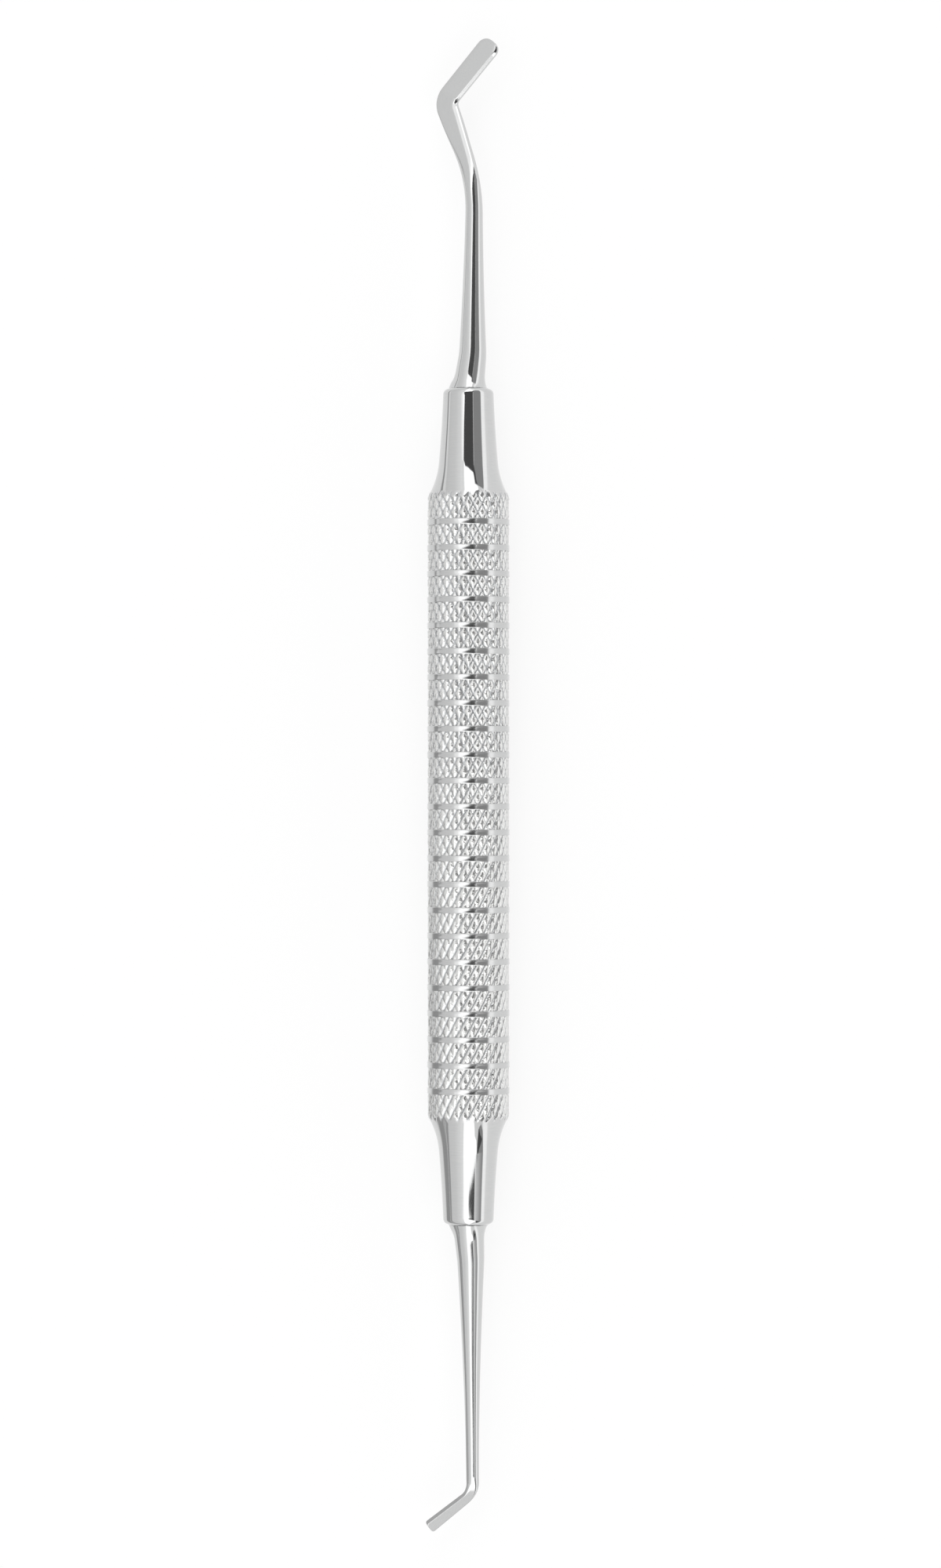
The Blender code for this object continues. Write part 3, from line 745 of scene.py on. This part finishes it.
def routeStations(form):
    # Stations (point, heading) in the plane of the bends, and how far along the last bend starts,
    # it ends and the tip's rounding starts
    corners = [(0.0, 0.0)]
    for length, angle in zip(form["lengths"], form["angles"]):
        turned = math.radians(angle)
        x, y = corners[-1]
        corners.append((x + length * math.sin(turned), y + length * math.cos(turned)))
    stations = [(corners[0], unitBetween(corners[0], corners[1]))]
    for before, corner, after, radius in zip(corners, corners[1:], corners[2:], form["bendRadii"]):
        headingIn = unitBetween(before, corner)
        headingOut = unitBetween(corner, after)
        crossed = headingIn[0] * headingOut[1] - headingIn[1] * headingOut[0]
        along = headingIn[0] * headingOut[0] + headingIn[1] * headingOut[1]
        turn = math.atan2(crossed, along)
        trim = radius * math.tan(abs(turn) / 2)
        start = (corner[0] - headingIn[0] * trim, corner[1] - headingIn[1] * trim)
        addStraight(stations, start, headingIn)
        side = math.copysign(1.0, turn)
        centre = (start[0] - headingIn[1] * side * radius, start[1] + headingIn[0] * side * radius)
        steps = max(2, round(abs(turn) / workingEnds["bendStep"]))
        for step in range(1, steps + 1):
            angle = turn * step / steps
            spoke = rotated((start[0] - centre[0], start[1] - centre[1]), angle)
            stations.append(((centre[0] + spoke[0], centre[1] + spoke[1]), rotated(headingIn, angle)))
    points = [point for point, heading in stations]
    bendEnd = sum(math.dist(first, second) for first, second in zip(points, points[1:]))
    bendStart = bendEnd - radius * abs(turn)
    heading = stations[-1][1]
    shoulder = tuple(corners[-1][axis] - heading[axis] * form["tipRadius"] for axis in (0, 1))
    tipStart = bendEnd + math.dist(stations[-1][0], shoulder)
    addStraight(stations, shoulder, heading)
    return stations, (bendStart, bendEnd, tipStart)


def sectionLoop(bm, station, section, twist):
    # A rectangle across the route. Each corner is (run, rise, flatness), from round (0) to bevelled (1).
    # The upper right one is the ridge. Points beside the corners keep the faces flat
    (x, y), heading = station
    halfWidth, halfThickness, ridge, corner = section
    points = workingEnds["cornerPoints"]
    beside = workingEnds["besideCorner"]
    spots = []
    for quarter, (side, face) in enumerate(((1, 1), (-1, 1), (-1, -1), (1, -1))):
        run, rise, flatness = ridge if quarter == 0 else corner
        run = min(run, halfWidth)
        rise = min(rise, halfThickness)
        for point in range(points):
            angle = math.pi / 2 * (point + 0.5) / points
            share = point / (points - 1)
            spot = (blend(math.cos(angle), 1 - share, flatness), blend(math.sin(angle), share, flatness))
            spot = rotated(spot, math.pi / 2 * quarter)
            across = side * (halfWidth - run) + run * spot[0]
            spots.append((across, face * (halfThickness - rise) + rise * spot[1]))
        if quarter % 2 == 0:
            far = min(corner[0], halfWidth)
            spots.append((side * (halfWidth - run) * beside, face * halfThickness))
            spots.append((-side * (halfWidth - far) * beside, face * halfThickness))
        else:
            spots.append((side * halfWidth, face * (halfThickness - rise) * beside))
    loop = []
    for spot in spots:
        across, up = rotated(spot, twist)
        loop.append(bm.verts.new((x + heading[1] * across, y - heading[0] * across, up)))
    return loop


def shankSection(form, travelled, marks):
    # Half width, half thickness, ridge and corners at a distance along the route, and its twist
    bendStart, bendEnd, tipStart = marks
    left = max(0.0, 1 - travelled / form["waistAt"])
    waist = form["waistRadius"]
    radius = waist + (workingEnds["rootRadius"] - waist) * left ** workingEnds["taperPower"]
    flare = max(0.0, 1 - travelled / workingEnds["collarFlare"])
    radius += (workingEnds["collarRadius"] - workingEnds["rootRadius"]) * flare ** 2
    share = eased(travelled, form["flattensAt"], bendEnd)
    spread = min(1.0, max(0.0, (travelled - bendEnd) / (tipStart - bendEnd)))
    flatWidth = blend(form["heelWidth"], form["tipWidth"], spread)
    ridged = eased(travelled, *form["ridgeBetween"])
    cornered = eased(travelled, *form["cornersBetween"])
    bevelled = eased(travelled, bendStart, bendEnd)
    ridge = [blend(blend(radius, leg, ridged), form["bevel"], bevelled) for leg in form["ridge"]]
    corner = blend(radius, form["bevel"], cornered)
    section = (
        blend(radius, flatWidth / 2, share ** 2),
        blend(radius, form["thickness"] / 2, share),
        (*ridge, ridged * blend(form["ridgeFlatness"], form["flatness"], bevelled)),
        (corner, corner, 0.0),
    )
    return section, blend(form["neckTwist"], form["twist"], share)


def loftEnd(name, form):
    bm = bmesh.new()
    loops = []
    tang = workingEnds["tangRadius"]
    chamfer = workingEnds["tangChamfer"]
    depth = workingEnds["tangLength"]
    collar = workingEnds["collarRadius"]
    for back, radius in ((depth, tang - chamfer), (depth - chamfer, tang), (0.0, tang), (0.0, collar)):
        corner = (radius, radius, 0.0)
        section = (radius, radius, corner, corner)
        loops.append(sectionLoop(bm, ((0.0, -back), (0.0, 1.0)), section, form["neckTwist"]))
    stations, marks = routeStations(form)
    travelled = 0.0
    previous = stations[0][0]
    for point, heading in stations[1:]:
        travelled += math.dist(previous, point)
        previous = point
        section, twist = shankSection(form, travelled, marks)
        loops.append(sectionLoop(bm, (point, heading), section, twist))

    # The tip's corners are rounded in plan, and there the ridge's bevel is lower
    shoulder, heading = stations[-1]
    for step in range(1, workingEnds["tipSteps"] + 1):
        angle = math.pi / 2 * step / workingEnds["tipSteps"]
        ahead = form["tipRadius"] * math.sin(angle)
        narrowed = form["tipWidth"] / 2 - form["tipRadius"] * (1 - math.cos(angle))
        point = tuple(shoulder[axis] + heading[axis] * ahead for axis in (0, 1))
        low = blend(1.0, form["tipBevel"], min(1.0, angle / workingEnds["tipBevelFrom"]))
        bevel = form["bevel"]
        ridge = (bevel, bevel * low, form["flatness"])
        section = (narrowed, form["thickness"] / 2, ridge, (bevel, bevel, 0.0))
        loops.append(sectionLoop(bm, (point, heading), section, form["twist"]))

    bridge(bm, loops)
    bm.faces.new(loops[0])
    bm.faces.new(loops[-1])

    # From the route's own place to its seat on the handle, with half a turn for the paddle end
    facing = form["direction"]
    for vert in bm.verts:
        x, y, z = vert.co
        vert.co = (facing * x, facing * (y + handleHigh.y), z + blank["axisHeight"])
    return pieceFrom(bm, name, steels["shankSteel"])


for endName, endForm, endNode, endSlot in (
    ("blade_end_polished", bladeEnd, "blade_end", "blade_steel"),
    ("paddle_end_polished", paddleEnd, "paddle_end", "paddle_steel"),
):
    finishPiece(loftEnd(endName, endForm), endNode, workingEnds["sharpAngle"])

# White table: keeps a faint shadow. Mirrors see it bright, with a painted grey strip on the left, a
# painted reflection that carries the tent's dark seam on past the horizon. The strip lies between two
# distances, (far, near) at the blade end and at the paddle end. Under the paddle's tip it comes nearer and
# is lighter
table = {
    "size": 3.0,
    "white": "#FFFFFF",
    "glow": 0.8,
    "shadeStripAtBlade": (-42.0 * mm, -24.0 * mm),
    "shadeStripAtPaddle": (-400.0 * mm, -14.5 * mm),
    "shadeStripTurns": 20.0 * mm,
    "shadeStripSoft": 2.5 * mm,
    "shadeStripLevel": 0.42,
    "tipShadowFrom": -68.0 * mm,
    "tipShadowTo": -76.0 * mm,
    "tipShadowNear": -1.5 * mm,
    "tipShadowLevel": 0.58,
}


def makeTable():
    mesh = bpy.data.meshes.new("table")
    half = table["size"] / 2
    corners = [(-half, -half, 0.0), (half, -half, 0.0), (half, half, 0.0), (-half, half, 0.0)]
    mesh.from_pydata(corners, [], [(0, 1, 2, 3)])
    piece = bpy.data.objects.new("table", mesh)
    bpy.context.scene.collection.objects.link(piece)
    material = bpy.data.materials.new("whitePaper")
    material.use_nodes = True
    tree = material.node_tree
    tree.nodes.clear()
    rays = addNode(tree, "ShaderNodeLightPath")
    place = addNode(tree, "ShaderNodeTexCoord").outputs["Object"]
    spot = addNode(tree, "ShaderNodeSeparateXYZ", None, {0: place})
    # Painted shadow: under the paddle's tip the strip comes up close to the instrument, its shade on the
    # table, seen only in mirrors
    atTipShadow = addNode(tree, mapRange, {
        **softStep, 1: table["tipShadowFrom"], 2: table["tipShadowTo"],
    }, {0: spot.outputs[1]})
    # Painted reflection: a grey strip on the left that only mirrors see, the camera sees plain white
    edges = []
    for atBlade, atPaddle in zip(table["shadeStripAtBlade"], table["shadeStripAtPaddle"]):
        edges.append(addNode(tree, mapRange, {
            1: table["shadeStripTurns"], 2: -table["shadeStripTurns"], 3: atBlade, 4: atPaddle,
        }, {0: spot.outputs[1]}))
    edges[1] = addNode(tree, "ShaderNodeMix", {3: table["tipShadowNear"]}, {0: atTipShadow, 2: edges[1]})
    inside = []
    for edge, side in zip(edges, (1, -1)):
        past = addNode(tree, maths, {"operation": "SUBTRACT"}, {0: spot.outputs[0], 1: edge})
        inside.append(addNode(tree, mapRange, {
            1: -side * table["shadeStripSoft"], 2: side * table["shadeStripSoft"],
        }, {0: past}))
    shadeStripMask = addNode(tree, maths, {"operation": "MULTIPLY"}, {0: inside[0], 1: inside[1]})
    level = addNode(tree, "ShaderNodeMix", {2: table["shadeStripLevel"], 3: table["tipShadowLevel"]}, {0: atTipShadow})
    paintedStripShade = addNode(tree, "ShaderNodeMix", {2: 1.0}, {0: shadeStripMask, 3: level})
    paper = addNode(tree, "ShaderNodeBsdfDiffuse", {"Color": linearColour(table["white"])})
    seen = addNode(tree, "ShaderNodeEmission", {"Strength": 1.0})
    paintedReflection = addNode(tree, "ShaderNodeEmission", None, {"Color": paintedStripShade})
    lit = addNode(tree, "ShaderNodeMixShader", {0: table["glow"]}, {1: paper, 2: seen})
    forCamera = addNode(tree, "ShaderNodeMixShader", None, {
        0: rays.outputs["Is Camera Ray"], 1: paper, 2: lit,
    })
    forMirror = addNode(tree, "ShaderNodeMixShader", None, {
        0: rays.outputs["Is Glossy Ray"], 1: forCamera, 2: paintedReflection,
    })
    addNode(tree, "ShaderNodeOutputMaterial", None, {0: forMirror})
    mesh.materials.append(material)
    print("table laid")


makeTable()

# Light tent round the object. Angles are in degrees: roll is from straight up towards +X, and
# pitch is from there towards +Y. Each layer covers the ones before it, between a left and a right
# outline that are given as (pitch, roll). The seam is where tent and table meet, and the haze is the
# soft edge of the lamp
tent = {
    "walls": (
        (-180, 1.0), (-90, 0.8), (-79, 0.84), (-55, 0.88), (-32, 1.05), (-29, 1.1),
        (24, 0.95), (56, 0.95), (60, 1.35), (72, 1.35), (80, 1.02), (180, 1.0),
    ),
    "soft": 1.5,
    "rollReach": 120.0,
    "pitchReach": 60.0,
    "litPitches": (-14.2, -13.2, -8.0, -4.0),  # from, full, fading, gone
    "litRolls": (26.0, 54.0),
    "litLevels": (0.98, 0.4),
    "layers": (
        ("seam", 0.45, (
            (-60, -100), (60, -100),
        ), (
            (-60, -81), (-4, -81), (3, -100), (60, -100),
        )),
        ("haze", 1.3, (
            (-60, -20), (-14, -22), (-11, -24), (-7, -32), (-5, -40), (5, -40), (8, -33), (12, -29),
            (16, -19), (60, -17),
        ), (
            (-60, 0), (60, 0),
        )),
        ("lamp", 1.75, (
            (-60, -18), (-14, -19), (-11, -20), (-7, -23), (-5, -28), (5, -28), (8, -25), (12, -24),
            (16, -17), (60, -15),
        ), (
            (-60, 24), (-37, 25), (-30, 31), (-12, 34), (46, 34), (50, 40), (60, 40),
        )),
        ("greyCard", 0.34, (
            (-60, 62), (-50, 50), (-47, 42), (-36, 41), (-30, 37), (-13.6, 34), (-12.9, 30), (-8, 24),
            (8, 21), (20, 21), (28, 19), (46, 26), (48.5, 62), (60, 62),
        ), (
            (-60, 50), (-50, 52), (-40, 57), (-11, 60), (-5, 58), (12, 57), (46, 61), (60, 61),
        )),
        ("blackCard", 0.09, (
            (-60, 50), (-47, 50), (-45, 40), (-30, 36), (-13.6, 33), (-12.8, 27), (-12, 16), (-11.3, 4),
            (-10.6, -1), (-9.9, 1), (-9.4, 8), (-9.05, 22), (-8.7, 12), (-8.2, 4), (-7, 2), (-3.3, 3),
            (8, -16), (11, -20), (14, -19), (17, -16), (20, -14), (22, -12), (23, -5), (25, 2), (27, 7),
            (28.5, 13), (30, 18), (32, 20), (44, 27), (47, 40), (60, 40),
        ), (
            (-60, 40), (-45, 43), (-37, 47), (-30, 55), (-24, 49), (-18, 42), (-13.6, 39), (-12.9, 28),
            (-9.5, 26), (-3, 20), (20, 21), (26, 24), (30, 27), (35, 29), (40, 31), (45, 36), (47, 38),
            (60, 38),
        )),
    ),
}


def makeTent():
    world = bpy.data.worlds.new("tent")
    bpy.context.scene.world = world
    world.use_nodes = True
    tree = world.node_tree
    tree.nodes.clear()
    heading = addNode(tree, "ShaderNodeTexCoord").outputs["Generated"]
    part = addNode(tree, "ShaderNodeSeparateXYZ", None, {0: heading})
    rollRadians = addNode(tree, maths, {"operation": "ARCTAN2"}, {0: part.outputs[0], 1: part.outputs[2]})
    roll = addNode(tree, maths, {"operation": "DEGREES"}, {0: rollRadians})
    pitchRadians = addNode(tree, maths, {"operation": "ARCSINE"}, {0: part.outputs[1]})
    pitch = addNode(tree, maths, {"operation": "DEGREES"}, {0: pitchRadians})

    # Walls of the tent, as one ramp over the whole turn
    rampPlace = addNode(tree, mapRange, {1: -180.0, 2: 180.0}, {0: roll})
    walls = addNode(tree, "ShaderNodeValToRGB", None, {0: rampPlace})
    stops = walls.color_ramp.elements
    while len(stops) < len(tent["walls"]):
        stops.new(0.5)
    for stop, (angle, level) in zip(stops, tent["walls"]):
        stop.position = (angle + 180) / 360
        stop.color = (level, level, level, 1.0)

    # The grey card is lit along its lower part, which only the paddle end mirrors
    start, full, fading, gone = tent["litPitches"]
    nearRoll, farRoll = tent["litRolls"]
    nearLevel, farLevel = tent["litLevels"]
    below = addNode(tree, mapRange, {**softStep, 1: gone, 2: fading}, {0: pitch})
    over = addNode(tree, mapRange, {**softStep, 1: start, 2: full}, {0: pitch})
    lit = addNode(tree, maths, {"operation": "MULTIPLY"}, {0: below, 1: over})
    litLevel = addNode(tree, mapRange, {1: nearRoll, 2: farRoll, 3: nearLevel, 4: farLevel}, {0: roll})

    # The layers: a lamp overhead, with a grey and a black card in front of it
    rollReach = tent["rollReach"]
    pitchReach = tent["pitchReach"]
    soft = tent["soft"]
    pitchPlace = addNode(tree, mapRange, {1: -pitchReach, 2: pitchReach}, {0: pitch})
    shade = walls
    for name, level, *outlines in tent["layers"]:
        inside = []
        for points, side in zip(outlines, (1, -1)):
            outline = addNode(tree, "ShaderNodeFloatCurve", None, {1: pitchPlace})
            curve = outline.mapping.curves[0]
            while len(curve.points) < len(points):
                curve.points.new(0.5, 0.5)
            for mark, (height, turn) in zip(curve.points, points):
                across = (height + pitchReach) / (2 * pitchReach)
                mark.location = (across, (turn + rollReach) / (2 * rollReach))
                mark.handle_type = "VECTOR"
            outline.mapping.update()
            limit = addNode(tree, mapRange, {3: -rollReach, 4: rollReach}, {0: outline})
            past = addNode(tree, maths, {"operation": "SUBTRACT"}, {0: roll, 1: limit})
            step = {**softStep, 1: -side * soft, 2: side * soft}
            inside.append(addNode(tree, mapRange, step, {0: past}))
        covered = addNode(tree, maths, {"operation": "MULTIPLY"}, {0: inside[0], 1: inside[1]})
        feeds = {0: covered, 2: shade}
        if name == "greyCard":
            feeds[3] = addNode(tree, "ShaderNodeMix", {2: level}, {0: lit, 3: litLevel})
        shade = addNode(tree, "ShaderNodeMix", {3: level}, feeds)
    rays = addNode(tree, "ShaderNodeLightPath")
    shown = addNode(tree, "ShaderNodeMix", {3: 1.0}, {0: rays.outputs["Is Camera Ray"], 2: shade})
    glow = addNode(tree, "ShaderNodeBackground", {"Strength": 1.0}, {"Color": shown})
    addNode(tree, "ShaderNodeOutputWorld", None, {0: glow})
    print("tent lit, with", len(tent["layers"]), "layers")


makeTent()

# Straight down from above the middle, as the photo is taken. The frame is 1200 x 2000 px, and the
# sensor's width is in mm
shot = {
    "distance": 0.6,
    "topShare": 49 / 2000,
    "bottomShare": 1953 / 2000,
    "axisShare": 0.4978,
    "frameShape": 1200 / 2000,
    "sensor": 36.0,
}


def makeCamera():
    frameHeight = (cadHigh.y - cadLow.y) / (shot["bottomShare"] - shot["topShare"])
    data = bpy.data.cameras.new("shot")
    data.sensor_width = shot["sensor"]
    data.lens = shot["sensor"] * shot["distance"] / frameHeight
    camera = bpy.data.objects.new("shot", data)
    bpy.context.scene.collection.objects.link(camera)
    x = (0.5 - shot["axisShare"]) * frameHeight * shot["frameShape"]
    y = cadHigh.y - frameHeight * (0.5 - shot["topShare"])
    camera.location = (x, y, blank["axisHeight"] + shot["distance"])
    bpy.context.scene.camera = camera
    print("camera set")


makeCamera()
bpy.context.scene.view_settings.view_transform = "Standard"
